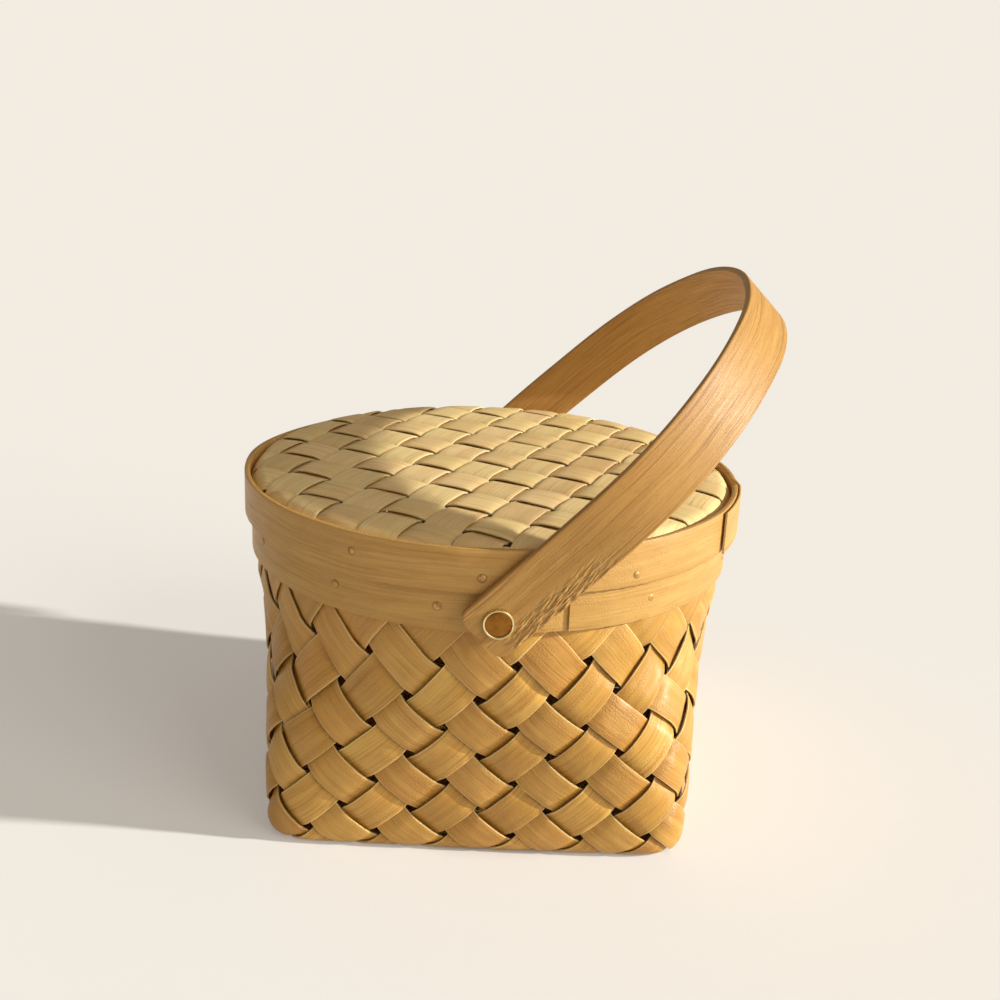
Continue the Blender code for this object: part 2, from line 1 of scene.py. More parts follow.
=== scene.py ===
"""Round pie basket of plaited wood splints with a woven lid and a bentwood handle, dressed for its photograph.

Metres, +Z up. Every piece is built in the basket's own frame and then moved onto its axis.
"""
import math

import bmesh
import bpy
import numpy as np
from mathutils import Matrix, Vector, noise


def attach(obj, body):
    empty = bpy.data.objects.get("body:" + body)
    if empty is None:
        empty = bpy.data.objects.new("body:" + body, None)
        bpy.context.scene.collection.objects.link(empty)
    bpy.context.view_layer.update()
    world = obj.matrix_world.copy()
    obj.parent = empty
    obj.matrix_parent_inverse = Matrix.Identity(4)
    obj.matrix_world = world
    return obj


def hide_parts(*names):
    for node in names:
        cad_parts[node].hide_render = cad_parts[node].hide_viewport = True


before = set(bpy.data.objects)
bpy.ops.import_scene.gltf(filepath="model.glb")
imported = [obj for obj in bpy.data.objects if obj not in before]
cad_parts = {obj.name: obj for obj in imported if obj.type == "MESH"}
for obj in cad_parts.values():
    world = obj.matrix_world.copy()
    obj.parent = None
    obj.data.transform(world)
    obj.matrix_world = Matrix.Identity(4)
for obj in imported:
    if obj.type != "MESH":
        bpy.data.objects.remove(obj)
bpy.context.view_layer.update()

MM = 0.001
RNG = np.random.default_rng(20)

# The same driving sizes as the frame's solids.
AXIS_X = -5.475 * MM
UNIT = 12.5 * MM
BASE_UNIT = 13.0 * MM
HALF_SIDE = 6
AROUND = 48
CELL_SHARE = 15.4 / (12.5 * math.sqrt(2))
FOOT_HALF_WIDTH = 81.0 * MM
FOOT_ROUND_WIDTH = 3.2 * MM
FOOT_ROUND_HEIGHT = 4.0 * MM
WALL_HOLLOW = 2.4 * MM
WALL_STEPS = 12
SQUARENESS = 12.5
FADE_POWER = 2.1
ROW_LIFT = 2.2 * MM
SPREAD_POWER = 3.0
WEAVE_TURN = math.radians(-2.8)
RIM_TOP = 116.5 * MM
RIM_BOTTOM = 98.0 * MM
RIM_RADIUS = 97.2 * MM
RIM_MID_RADIUS = 93.7 * MM
RIM_INNER_RADIUS = 92.2 * MM
UPRIGHT_FROM = 85.5 * MM
ROUND_FROM_ROW = 7
ROWS_UP = 8
SPLINT_TOP = 107.6 * MM
HALF_DEPTH = 0.95 * MM
LID_TOP = 130.0 * MM
LID_RADIUS = 100.0 * MM
LID_PITCH = 17.7 * MM
LID_SPLINTS = 11
LID_WEAVE_HEIGHT = 128.65 * MM
LID_MIDDLE = (LID_SPLINTS - 1) // 2
LID_BOTTOM = 113.5 * MM
LID_HOOP_THICKNESS = 2.2 * MM
LID_LAP_LENGTH = 38.0 * MM
LID_RING_RADIUS = 96.0 * MM
LID_RING_THICKNESS = 2.0 * MM
LID_RING_BOTTOM = 116.9 * MM
RIM_THICKNESS = 2.0 * MM
RIM_INNER_THICKNESS = 1.5 * MM
RIM_LAP_START = math.radians(-75.0)
RIM_LAP_LENGTH = 42.0 * MM
PIVOT_HEIGHT = 104.5 * MM
HANDLE_LEAN = math.radians(45.5)
HANDLE_SPAN = 102.0 * MM
HANDLE_LEG = 45.0 * MM
HANDLE_CROWN = 98.0 * MM
HANDLE_OVERHANG = 9.0 * MM
HANDLE_CORNER = 4.0 * MM
HANDLE_WIDTH = 22.5 * MM
HANDLE_THICKNESS = 3.0 * MM

SIDES = (((0, -1), (1, 0)), ((1, 0), (0, 1)), ((0, 1), (-1, 0)), ((-1, 0), (0, -1)))

# The splints as the photograph shows them: strongly arched strips a little narrower than their cells.
HALF_CELL = UNIT * math.sqrt(0.5)
SPLINT_HALF_WIDTH = 7.7 * MM
BODY_STEP = 0.14
BODY_WIDTH_SHARE = 0.94
BODY_HALF_THICKNESS = 0.4 * MM
STRIP_COLUMNS = 12
EDGE_WAVE = 47.0 * MM
EDGE_WANDER = 0.014
BASE_ARCH = 0.53 * MM
WALL_ARCH = 1.45 * MM
RIM_ARCH = 0.85 * MM
BASE_FLATNESS = 0.14
WALL_FLATNESS = 0.6
WALL_RISE_ROWS = 1.5
RIM_CALM_ROW = 6.4
RIM_CALM_ROWS = 1.3
ARCH_LEAN = 0.15 * MM
ARCH_CUP = 0.14 * MM
SETTLE_ROWS = 0.48
SETTLE_TILT = 0.16
SETTLE_START = 0.7
SETTLE_EASE_FROM = 5.5
SETTLE_EASE_ROWS = 3.0
SETTLE_EASE = 1.3
RIM_SPREAD = 0.95
RIM_SHIFT = -0.12
FOOT_SHIFT = 0.14
LID_TURN = {"a": math.radians(-30.5), "b": math.radians(62.5)}
LID_SHIFT = {"a": 6.2 * MM, "b": 0.9 * MM}
LID_SHIFT_REACH = 5.6
LID_HALF_WIDTH = 7.8 * MM
LID_HALF_THICKNESS = 0.38 * MM
LID_WEAVE_RADIUS = 97.3 * MM
LID_SHORTEST_END = 6.0 * MM
LID_STEP = 1.3 * MM
LID_ARCH = 0.98 * MM
LID_FLATNESS = 0.5
LID_DOME = 2.1 * MM
LID_DOME_POWER = 12
LID_BACK_RISE = 0.8 * MM
LID_TURN_DOWN_FROM = 92.6 * MM
LID_END_DROP = 4.2 * MM

# Hoops, handle and metal as the photograph shows them.
HOOP_STEPS = 640
HOOP_RAMP = 9.0 * MM
HOOP_EASE = 0.4 * MM
EDGE_FRAY = 0.3 * MM
EDGE_FRAY_LENGTH = 2.6 * MM
HOOP_FACE_SHARES = (0.0, 0.2, 0.4, 0.6, 0.8, 1.0)
LID_LAP_START = math.radians(-31.0)
LID_LAP_PROUD = 1.4 * MM
LID_LAP_LIFT = 0.3 * MM
LID_BACK_DROP = 1.3 * MM
LID_RING_TOP = 124.6 * MM
RIM_LAP_PROUD = 0.3 * MM
HANDLE_CALM_COLUMNS = 18
HANDLE_TORN_COLUMNS = 64
HANDLE_EASE = 0.6 * MM
HANDLE_STEP = 0.35 * MM
HANDLE_BEND_STEPS = 160
TORN_LENGTH = 62.0 * MM
TORN_FROM = 2.2 * MM
TORN_FADE = 4.5 * MM
TORN_SLANT = 0.16
RIVET_DOME = 4.6 * MM
BRAD_RADIUS = 1.35 * MM
BRAD_STAND = 0.05 * MM
LID_BRAD_HEIGHT = 120.0 * MM
RIM_BRAD_HEIGHT = 106.0 * MM
# Degrees round from +X and height of each brad that shows in the photograph.
LID_BRADS = ((-121.0, 122.9 * MM), (-93.5, 119.4 * MM), (-60.8, 117.6 * MM))
RIM_BRADS = ((-155.0, 109.0 * MM), (-126.4, 107.3 * MM), (-102.6, 106.9 * MM), (-55.0, 106.0 * MM))
LID_BRADS_BEHIND = (-14.0, 25.0, 62.0, 98.0, 134.0, 170.0)
RIM_BRADS_BEHIND = (-22.0, 12.0, 40.0, 66.0, 114.0, 142.0, 172.0)

# Stage and light, with 1 as the light at which a colour renders as it is written.
FLOOR_REACH = 60.0
FLOOR_COLOUR = (0.70, 0.69, 0.67)
FLOOR_GLOW = 0.3
WORLD_COLOUR = (1.0, 0.87, 0.7)
WORLD_LEVEL = 0.3
KEY_AZIMUTH = math.radians(81.6)
KEY_ELEVATION = math.radians(21.9)
KEY_WIDTH = math.radians(2.2)
KEY_LEVEL = 1.45
KEY_COLOUR = (1.0, 0.985, 0.94)
FILL_AZIMUTH = math.radians(50.0)
FILL_ELEVATION = math.radians(25.0)
FILL_WIDTH = math.radians(40.0)
FILL_LEVEL = 0.3
FILL_COLOUR = (1.0, 0.95, 0.86)

# Grain maps: every strip of timber has its own band of v and its own start of u.
GRAIN_BAND = 0.1
GRAIN_STAGGER = 0.37
INNER_FACE_GRAIN = 0.03
HANDLE_GRAIN = (3.3, 0.05)


# Node materials

class Graph:
    """A material's node tree with short calls for the nodes that the woods and metals share."""

    def __init__(self, name):
        self.material = bpy.data.materials.new(name)
        self.material.use_nodes = True
        self.tree = self.material.node_tree
        self.shader = self.tree.nodes["Principled BSDF"]

    def node(self, kind, inputs=None, **settings):
        item = self.tree.nodes.new(kind)
        for key, value in settings.items():
            setattr(item, key, value)
        for key, value in (inputs or {}).items():
            self.feed(item.inputs[key], value)
        return item

    def feed(self, socket, value):
        if isinstance(value, bpy.types.NodeSocket):
            self.tree.links.new(value, socket)
        else:
            socket.default_value = value

    def math(self, operation, a, b=0.0, clamp=False):
        item = self.node("ShaderNodeMath", {0: a, 1: b}, operation=operation)
        item.use_clamp = clamp
        return item.outputs[0]

    def stretch(self, vector, scale, offset=(0.0, 0.0, 0.0)):
        """A coordinate scaled by hand, so that one noise can be long in one direction."""
        scaled = self.node("ShaderNodeVectorMath", {0: vector, 1: scale}, operation="MULTIPLY").outputs[0]
        return self.node("ShaderNodeVectorMath", {0: scaled, 1: offset}, operation="ADD").outputs[0]

    def noise(self, vector, scale=1.0, detail=3.0, roughness=0.5, distortion=0.0):
        item = self.node("ShaderNodeTexNoise", {
            "Vector": vector, "Scale": scale, "Detail": detail, "Roughness": roughness, "Distortion": distortion,
        })
        return item.outputs["Fac"]

    def ramp(self, value, stops):
        item = self.node("ShaderNodeValToRGB", {"Fac": value})
        elements = item.color_ramp.elements
        while len(elements) < len(stops):
            elements.new(0.5)
        for element, (place, colour) in zip(elements, stops):
            element.position = place
            element.color = colour if len(colour) == 4 else (*colour, 1.0)
        return item.outputs["Color"]

    def band(self, value, low, high, start=0.0, end=1.0):
        """Map low to high smoothly onto start to end."""
        item = self.node("ShaderNodeMapRange", {
            "Value": value, "From Min": low, "From Max": high, "To Min": start, "To Max": end,
        }, interpolation_type="SMOOTHSTEP")
        return item.outputs["Result"]

    def mix(self, share, a, b, blend="MIX"):
        item = self.node("ShaderNodeMix", data_type="RGBA", blend_type=blend)
        self.feed(item.inputs[0], share)
        self.feed(item.inputs[6], a)
        self.feed(item.inputs[7], b)
        return item.outputs[2]

    def bump(self, height, strength, distance, normal=None):
        item = self.node("ShaderNodeBump", {"Height": height, "Strength": strength, "Distance": distance})
        if normal is not None:
            self.feed(item.inputs["Normal"], normal)
        return item.outputs["Normal"]


def linear(red, green, blue):
    """sRGB in 0 to 255 to a linear colour."""
    values = []
    for channel in (red, green, blue):
        c = channel / 255
        values.append(c / 12.92 if c <= 0.04045 else ((c + 0.055) / 1.055) ** 2.4)
    return (*values, 1.0)


def wood(name, light, dark, line, growth=0.3, pores=0.2, rough=0.44, relief=1.0, scars=1.0, torn=0.0):
    """Split or planed wood whose grain runs along u of the map named grain, in metres."""
    g = Graph(name)
    uv = g.node("ShaderNodeUVMap", uv_map="grain").outputs["UV"]
    parts = g.node("ShaderNodeSeparateXYZ", {0: uv})
    # Each strip of timber has a tone and a hue of its own.
    strip = g.math("FLOOR", g.math("DIVIDE", parts.outputs[1], GRAIN_BAND))
    tone = g.node("ShaderNodeTexWhiteNoise", {"W": strip}, noise_dimensions="1D").outputs["Value"]
    hue = g.node("ShaderNodeTexWhiteNoise", {"W": g.math("ADD", strip, 71.3)}, noise_dimensions="1D").outputs["Value"]
    # The fibres sway a little, and every finer layer follows them.
    sway = g.noise(g.stretch(uv, (13.0, 30.0, 0.0)), detail=2.0)
    swayed = g.math("ADD", parts.outputs[1], g.math("MULTIPLY", sway, 0.006))
    fibre = g.node("ShaderNodeCombineXYZ", {0: parts.outputs[0], 1: swayed}).outputs[0]
    broad = g.noise(g.stretch(fibre, (9.0, 240.0, 0.0), (3.1, 7.7, 0.0)), detail=4.0, roughness=0.6)
    fine = g.noise(g.stretch(fibre, (40.0, 1700.0, 0.0), (11.0, 2.0, 0.0)), detail=3.0, roughness=0.65)
    hair = g.noise(g.stretch(fibre, (150.0, 4600.0, 0.0), (5.0, 9.0, 0.0)), detail=2.0, roughness=0.7)
    zone = g.noise(g.stretch(uv, (42.0, 70.0, 0.0), (8.0, 8.0, 0.0)), detail=2.0)
    late = g.noise(g.stretch(fibre, (11.0, 900.0, 0.0), (1.0, 4.0, 0.0)), detail=2.0, roughness=0.5)
    late = g.math("MULTIPLY", g.band(late, 0.57, 0.66), growth)
    pore = g.noise(g.stretch(fibre, (330.0, 3400.0, 0.0)), detail=1.0)
    pore = g.math("MULTIPLY", g.band(pore, 0.64, 0.74), pores)
    # Short raised scars across the grain, in patches, left by splitting and bending.
    scar = g.noise(g.stretch(uv, (1900.0, 950.0, 0.0), (4.0, 6.0, 0.0)), detail=2.0, roughness=0.7)
    scarred = g.band(g.noise(g.stretch(uv, (75.0, 120.0, 0.0), (9.0, 1.0, 0.0)), detail=1.0), 0.38, 0.6)
    base = g.mix(g.band(broad, 0.25, 0.75), light, dark)
    base = g.mix(1.0, base, g.mix(tone, TONE_PALE, TONE_DEEP), "MULTIPLY")
    base = g.mix(1.0, base, g.mix(hue, HUE_YELLOW, HUE_RED), "MULTIPLY")
    base = g.mix(g.band(zone, 0.4, 0.7, 0.0, 0.3), base, dark)
    base = g.mix(g.band(fine, 0.46, 0.68, 0.0, 0.34), base, line)
    base = g.mix(late, base, line)
    base = g.mix(pore, base, line)
    scarred = g.math("MULTIPLY", scarred, scars)
    base = g.mix(g.math("MULTIPLY", g.band(scar, 0.42, 0.62), g.math("MULTIPLY", scarred, 0.16)), base, line)
    height = g.math("ADD", g.math("MULTIPLY", fine, 0.55), g.math("MULTIPLY", hair, 0.3))
    height = g.math("ADD", height, g.math("MULTIPLY", g.math("MULTIPLY", scar, scarred), 1.6))
    height = g.math("SUBTRACT", height, g.math("MULTIPLY", late, 0.35))
    if torn:
        where = g.node("ShaderNodeUVMap", uv_map="torn").outputs["UV"]
        amount = g.node("ShaderNodeSeparateXYZ", {0: where}).outputs[0]
        slanted = g.math("ADD", parts.outputs[1], g.math("MULTIPLY", parts.outputs[0], TORN_SLANT))
        slanted = g.node("ShaderNodeCombineXYZ", {0: parts.outputs[0], 1: slanted}).outputs[0]
        ripped = g.noise(g.stretch(slanted, (230.0, 1900.0, 0.0), (2.0, 2.0, 0.0)), detail=4.0, roughness=0.7)
        height = g.math("ADD", height, g.math("MULTIPLY", g.math("MULTIPLY", ripped, amount), torn))
        # Painted light on the torn fibres: the raised splinters are lightened as a painted highlight, and the grooves
        # between them are darkened as painted shade.
        splinter_highlight = g.math("MULTIPLY", g.band(ripped, 0.48, 0.6), g.math("MULTIPLY", amount, 0.55))
        base = g.mix(splinter_highlight, base, linear(246, 208, 140))
        base = g.mix(g.math("MULTIPLY", g.band(ripped, 0.46, 0.36), g.math("MULTIPLY", amount, 0.4)), base, line)
    g.feed(g.shader.inputs["Base Color"], base)
    g.feed(g.shader.inputs["Roughness"], g.band(fine, 0.25, 0.75, rough - 0.06, rough + 0.1))
    g.feed(g.shader.inputs["Normal"], g.bump(height, 0.6 * relief, 0.00035))
    # Fibres spread the light across themselves, like a brushed face.
    tangent = g.node("ShaderNodeTangent", direction_type="UV_MAP", uv_map="grain").outputs[0]
    g.feed(g.shader.inputs["Tangent"], tangent)
    g.shader.inputs["Anisotropic"].default_value = 0.4
    g.shader.inputs["Anisotropic Rotation"].default_value = 0.25
    g.shader.inputs["IOR"].default_value = 1.5
    return g.material


def metal(name, colour, rough, dull):
    """Dulled metal with faint scratches and a darker film in patches."""
    g = Graph(name)
    place = g.node("ShaderNodeTexCoord").outputs["Object"]
    film = g.noise(place, 520.0, 3.0, 0.6)
    scratch = g.noise(g.stretch(place, (900.0, 900.0, 5200.0)), 1.0, 3.0, 0.7)
    g.feed(g.shader.inputs["Base Color"], g.mix(g.band(film, 0.4, 0.75), colour, dull))
    g.feed(g.shader.inputs["Roughness"], g.band(film, 0.25, 0.8, rough, rough + 0.2))
    g.feed(g.shader.inputs["Normal"], g.bump(scratch, 0.12, 0.0001))
    g.shader.inputs["Metallic"].default_value = 1.0
    return g.material


TONE_PALE, TONE_DEEP = linear(255, 255, 255), linear(228, 220, 208)
HUE_YELLOW, HUE_RED = linear(253, 253, 236), linear(255, 247, 240)

MATERIALS = {
    "splint": wood("splint_wood", linear(231, 186, 100), linear(210, 156, 72), linear(152, 100, 40), rough=0.37,
                   relief=1.4, scars=0.65),
    # The cut edges: a paler wood that is also a painted highlight, standing in for the light that the edges catch.
    "splint_edge_pale_and_highlight": wood("splint_edge_pale_and_highlight_wood", linear(246, 222, 164), linear(234, 200, 134), linear(196, 150, 88),
                        growth=0.1, pores=0.1),
    "lid": wood("lid_wood", linear(255, 236, 182), linear(249, 217, 157), linear(194, 150, 92), scars=0.35),
    "lid_edge": wood("lid_edge_wood", linear(250, 234, 192), linear(240, 214, 160), linear(200, 160, 106),
                     growth=0.1, pores=0.1, scars=0.3),
    "hoop": wood("hoop_wood", linear(222, 182, 108), linear(206, 158, 84), linear(160, 110, 52), growth=0.26, pores=0.3,
                 scars=0.7),
    "handle": wood("handle_wood_grain", linear(216, 170, 102), linear(194, 144, 78), linear(126, 84, 38),
                   growth=0.45, pores=0.5, rough=0.5, relief=1.3, scars=0.2, torn=1.4),
    "rivet_dome": metal("rivet_dome_bronze", linear(158, 106, 44), 0.36, linear(142, 92, 36)),
    "rivet_rim": metal("rivet_rim_brass", linear(240, 222, 170), 0.2, linear(206, 176, 116)),
    "brass": metal("washer_brass", linear(204, 164, 96), 0.34, linear(150, 112, 58)),
    "brad": metal("brad_brass", linear(206, 166, 108), 0.55, linear(170, 128, 76)),
    # The sunk ring round each brad head: wood darkened as painted shade in the hole.
    "brad_shadow": wood("brad_hole_painted_shade", linear(186, 140, 82), linear(156, 112, 62), linear(120, 82, 42)),
}


# Mesh helpers

def add_piece(name, vertices, faces, materials, body, grain=None, torn=None, edge_faces=(), smooth=40.0):
    """One object from arrays, with its grain map in metres, riding on a CAD body."""
    mesh = bpy.data.meshes.new(name)
    mesh.from_pydata([tuple(v) for v in vertices], [], faces)
    for material in materials:
        mesh.materials.append(MATERIALS[material])
    for index in edge_faces:
        mesh.polygons[index].material_index = 1
    for key, values in (("grain", grain), ("torn", torn)):
        if values is None:
            continue
        layer = mesh.uv_layers.new(name=key)
        corners = np.zeros(len(mesh.loops), dtype=np.int32)
        mesh.loops.foreach_get("vertex_index", corners)
        layer.data.foreach_set("uv", np.asarray(values, dtype=np.float32)[corners].ravel())
    solid = bmesh.new()
    solid.from_mesh(mesh)
    bmesh.ops.recalc_face_normals(solid, faces=solid.faces)
    solid.to_mesh(mesh)
    solid.free()
    mesh.shade_smooth()
    mesh.set_sharp_from_angle(angle=math.radians(smooth))
    item = bpy.data.objects.new(name, mesh)
    bpy.context.collection.objects.link(item)
    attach(item, body)
    return item


def sweep(rings, closed=False):
    """Faces of a tube of equal rings, ends capped unless closed on itself."""
    count, size = len(rings), len(rings[0])
    faces = []
    for i in range(count if closed else count - 1):
        n = (i + 1) % count
        for k in range(size):
            m = (k + 1) % size
            faces.append((i * size + k, n * size + k, n * size + m, i * size + m))
    if not closed:
        faces.append(tuple(range(size)))
        faces.append(tuple((count - 1) * size + k for k in range(size)))
    return faces


def strip_piece(name, middle, normal, half_thickness, across, grain_u, seed, materials, body):
    """A thin strip from a grid of middle points: both faces, and its four cut edges in a paler wood that is also a
    painted highlight.
    """
    rows, columns = middle.shape[:2]
    # The cut edges are eased: the outermost columns are drawn in.
    ease = np.ones(columns)
    ease[0] = ease[-1] = 0.66
    outer = middle + normal * (half_thickness * ease)[None, :, None]
    inner = middle - normal * (half_thickness * ease)[None, :, None]
    vertices = np.concatenate([outer.reshape(-1, 3), inner.reshape(-1, 3)])
    total = rows * columns

    def at(i, k, side):
        return side * total + i * columns + k

    faces, edges = [], []
    for i in range(rows - 1):
        for k in range(columns - 1):
            faces.append((at(i, k, 0), at(i + 1, k, 0), at(i + 1, k + 1, 0), at(i, k + 1, 0)))
            faces.append((at(i, k, 1), at(i, k + 1, 1), at(i + 1, k + 1, 1), at(i + 1, k, 1)))
            if k in (0, columns - 2):
                edges += [len(faces) - 2, len(faces) - 1]
    for i in range(rows - 1):
        for k in (0, columns - 1):
            edges.append(len(faces))
            faces.append((at(i, k, 0), at(i, k, 1), at(i + 1, k, 1), at(i + 1, k, 0)))
    for k in range(columns - 1):
        for i in (0, rows - 1):
            edges.append(len(faces))
            faces.append((at(i, k, 0), at(i, k + 1, 0), at(i, k + 1, 1), at(i, k, 1)))
    u = np.broadcast_to(grain_u if grain_u.ndim == 2 else grain_u[:, None], (rows, columns))
    v = np.broadcast_to(across, (rows, columns)) + GRAIN_BAND * (seed + 0.5)
    grain = np.stack([u + seed * GRAIN_STAGGER, v], -1).reshape(-1, 2)
    back = grain + np.array([1.7, 0.0])
    return add_piece(name, vertices, faces, materials, body, np.concatenate([grain, back]), edge_faces=edges)


# Surface of the body, as in the frame's solids

def half_width_at(height):
    share = np.minimum(height / UPRIGHT_FROM, 1.0)
    leaning = FOOT_HALF_WIDTH + (RIM_MID_RADIUS - FOOT_HALF_WIDTH) * share - 4 * WALL_HOLLOW * share * (1 - share)
    rise = np.minimum(height / FOOT_ROUND_HEIGHT, 1.0)
    return leaning - FOOT_ROUND_WIDTH * (1 - np.sqrt(np.maximum(0.0, 1 - (1 - rise) ** 2)))


def make_meridian():
    turns = np.linspace(0.0, math.pi / 2, 19)
    wall = np.linspace(FOOT_ROUND_HEIGHT, UPRIGHT_FROM, WALL_STEPS + 1)[1:]
    heights = np.concatenate([FOOT_ROUND_HEIGHT * (1 - np.cos(turns)), wall, [LID_TOP]])
    widths = np.concatenate([[0.0], half_width_at(heights)])
    heights = np.concatenate([[0.0], heights])
    lengths = np.concatenate([[0.0], np.cumsum(np.hypot(np.diff(widths), np.diff(heights)))])
    return lengths, widths, heights


MERIDIAN = make_meridian()
WALL_LENGTH = np.interp(SPLINT_TOP, MERIDIAN[2], MERIDIAN[0]) - HALF_SIDE * BASE_UNIT
ROW_LENGTH = WALL_LENGTH / (ROWS_UP + CELL_SHARE)
LEVELS = np.linspace(2.0, SQUARENESS, 61)
SHARES = np.linspace(0.0, 1.0, 4 * AROUND * 4 + 1)


def make_outline(squareness):
    angle = math.tau * SHARES - 3 * math.pi / 4
    c, s = np.cos(angle), np.sin(angle)
    reach = (np.abs(c) ** squareness + np.abs(s) ** squareness) ** (-1 / squareness)
    x, y = reach * c, reach * s
    run = np.concatenate([[0.0], np.cumsum(np.hypot(np.diff(x), np.diff(y)))])
    run /= run[-1]
    return np.stack([np.interp(SHARES, run, x), np.interp(SHARES, run, y)], -1)


OUTLINES = np.stack([make_outline(level) for level in LEVELS])


def outline_points(around, row):
    fade = np.maximum(0.0, 1 - np.maximum(row, 0.0) / ROUND_FROM_ROW)
    level = (SQUARENESS - 2) * fade ** FADE_POWER / (LEVELS[1] - LEVELS[0])
    low = np.clip(np.floor(level).astype(int), 0, len(LEVELS) - 2)
    rest = level - low
    place = (around % AROUND) / AROUND * (len(SHARES) - 1)
    left = np.clip(np.floor(place).astype(int), 0, len(SHARES) - 2)
    part = place - left
    out = 0.0
    for k, wk in ((0, 1 - rest), (1, rest)):
        for j, wj in ((0, 1 - part), (1, part)):
            out = out + OUTLINES[low + k, left + j] * (wk * wj)[..., None]
    return out


def wall_points(around, row):
    lengths, widths, heights = MERIDIAN
    length = HALF_SIDE * BASE_UNIT + row * ROW_LENGTH
    half = np.interp(length, lengths, widths)
    height = np.interp(length, lengths, heights)
    plan = outline_points(around, row)
    corner = np.abs((around % (2 * HALF_SIDE)) / HALF_SIDE - 1) ** SPREAD_POWER
    climb = np.maximum(row, 0.0)
    height = height + ROW_LIFT * climb * np.maximum(0.0, 1 - climb / ROUND_FROM_ROW) * corner
    return np.stack([half * plan[..., 0], half * plan[..., 1], height + HALF_DEPTH], -1)


def side_coordinates(a, b, side):
    (out_a, out_b), (run_a, run_b) = SIDES[side]
    return side * 2 * HALF_SIDE + HALF_SIDE + a * run_a + b * run_b, a * out_a + b * out_b - HALF_SIDE


def base_points(a, b):
    ring = np.maximum(np.maximum(np.abs(a), np.abs(b)), 1e-9)
    lengths, widths, heights = MERIDIAN
    half = np.interp(ring * BASE_UNIT, lengths, widths)
    height = np.interp(ring * BASE_UNIT, lengths, heights)
    sa, sb = a * HALF_SIDE / ring, b * HALF_SIDE / ring
    facing = np.argmax(np.stack([a * o[0] + b * o[1] for o, _ in SIDES]), axis=0)
    column = np.choose(facing, [side_coordinates(sa, sb, s)[0] for s in range(4)])
    plan = outline_points(column, np.zeros_like(column, dtype=float))
    bend = np.maximum(0.0, (ring - HALF_SIDE / 2) / (HALF_SIDE / 2)) ** 2
    x = half * (a / ring + (plan[..., 0] - a / ring) * bend)
    y = half * (b / ring + (plan[..., 1] - b / ring) * bend)
    return np.stack([x, y, height + HALF_DEPTH], -1)


def smooth_step(value):
    share = np.clip(value, 0.0, 1.0)
    return share * share * (3 - 2 * share)


def hand_laid(around, row):
    """The wall's lattice as the photograph shows it: its rows set lower, its columns spread towards the rim."""
    rightwards = np.sin(math.tau * (around - HALF_SIDE) / AROUND)
    started = 1 - np.exp(-row / SETTLE_START)
    eased = 1 - SETTLE_EASE * smooth_step((row - SETTLE_EASE_FROM) / SETTLE_EASE_ROWS)
    climb = row / ROUND_FROM_ROW
    moved = (RIM_SPREAD * rightwards + RIM_SHIFT) * climb ** 2 + FOOT_SHIFT * started * np.maximum(1 - climb, 0.0)
    return around + moved, row - (SETTLE_ROWS - SETTLE_TILT * rightwards) * started * eased


def lattice_points(a, b, side):
    column, row = side_coordinates(a, b, side)
    on_wall = (row >= 0)[..., None]
    return np.where(on_wall, wall_points(*hand_laid(column, np.maximum(row, 0.0))), base_points(a, b))


def lattice_normals(a, b, side, step=0.12):
    along_a = lattice_points(a + step, b, side) - lattice_points(a - step, b, side)
    along_b = lattice_points(a, b + step, side) - lattice_points(a, b - step, side)
    normal = -np.cross(along_a, along_b)
    return normal / np.linalg.norm(normal, axis=-1, keepdims=True)


def flat_topped(c, k):
    """A cosine squeezed towards a square wave."""
    return c * np.sqrt((1 + k * k) / (c * c + k * k))


def turned(points, angle, lift=0.0):
    """Points turned about the basket's axis and moved onto it."""
    c, s = math.cos(angle), math.sin(angle)
    x = points[..., 0] * c - points[..., 1] * s + AXIS_X
    y = points[..., 0] * s + points[..., 1] * c
    return np.stack([x, y, points[..., 2] + lift], -1)


def facing_side(a, b):
    return max(range(4), key=lambda i: a * SIDES[i][0][0] + b * SIDES[i][0][1])


def ripple(place, length, phases):
    """A smooth irregular wave of about unit height, with its longest part of the given length."""
    total = 0.0
    for k, phase in enumerate(phases):
        total = total + np.sin(math.tau * place * (1 + 0.83 * k) / length + phase) / (1 + 0.6 * k)
    return total / 1.6


def strip_edges(place, columns):
    """Where a strip's columns lie over its half width, with the two cut edges wandering by hand's breadth of a hair."""
    even = np.linspace(-1.0, 1.0, columns - 2)
    across = np.concatenate([[-1.0], even[:1] * 0.955, even[1:-1], even[-1:] * 0.955, [1.0]])
    left = ripple(place, EDGE_WAVE, RNG.uniform(0, math.tau, 4))[:, None]
    right = ripple(place, EDGE_WAVE, RNG.uniform(0, math.tau, 4))[:, None]
    wave = EDGE_WANDER * (left * (1 - across) + right * (1 + across)) / 2
    return across, across[None, :] + wave


